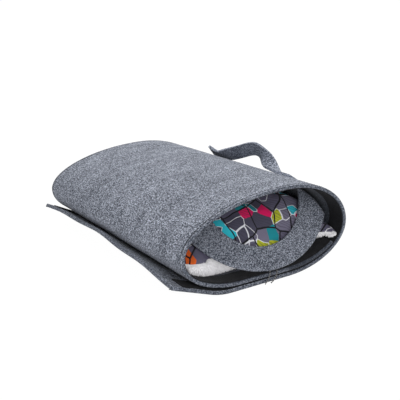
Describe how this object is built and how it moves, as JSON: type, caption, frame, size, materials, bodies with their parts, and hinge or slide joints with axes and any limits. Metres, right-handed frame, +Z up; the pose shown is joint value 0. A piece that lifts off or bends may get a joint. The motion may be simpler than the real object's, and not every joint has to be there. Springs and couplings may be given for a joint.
{
  "type": "felt knitting bag",
  "caption": "Thick felt sheet rolled into a flat tube with a flap, a leaning entrance ring in its mouth, a stuffed cushion inside and a short half-twisted carrying strap.",
  "frame": {"origin": "middle of the flat underside, halfway along the tube, on the surface that the bag lies on", "axes": "+X across the tube towards the carrying strap, +Y along the tube away from the entrance, +Z up"},
  "size_m": [0.3369, 0.4489, 0.1629],
  "materials": {
    "felt": "matte",
    "tape": "matte",
    "ring_felt": "matte",
    "printed_cotton": "matte",
    "plush": "matte",
    "filling": "matte",
    "strap_felt": "matte",
    "cord": "matte"
  },
  "bodies": {
    "flap": {"wrap_flap": "felt", "front_flap_tape": "tape", "rear_flap_tape": "tape"},
    "tube": {"wrap_body": "felt", "front_rim_tape": "tape", "rear_rim_tape": "tape", "handle_end_front": "strap_felt", "handle_end_rear": "strap_felt"},
    "handle": {"handle_loop": "strap_felt"},
    "cushion": {"cushion_top_cover": "printed_cotton", "cushion_base_cover": "plush", "cushion_filling": "filling"},
    "ring": {"entrance_ring": "ring_felt", "tie_cord_left": "cord", "tie_cord_right": "cord"}
  },
  "joints": [
    {"name": "tube_hinge", "type": "hinge", "parent": "flap", "child": "tube", "pos_m": [0.12029, 0, 0.01747], "axis": [0, 1, 0], "range_deg": [0, 55]},
    {"name": "handle_hinge", "type": "hinge", "parent": "tube", "child": "handle", "pos_m": [0.1315, 0, 0.129], "axis": [0, 1, 0], "range_deg": [-15, 40]},
    {"name": "cushion_slide", "type": "slide", "parent": "tube", "child": "cushion", "axis": [0, -1, 0], "range_m": [0, 0.4]},
    {"name": "ring_slide", "type": "slide", "parent": "cushion", "child": "ring", "axis": [0, -1, 0], "range_m": [0, 0.28]}
  ]
}
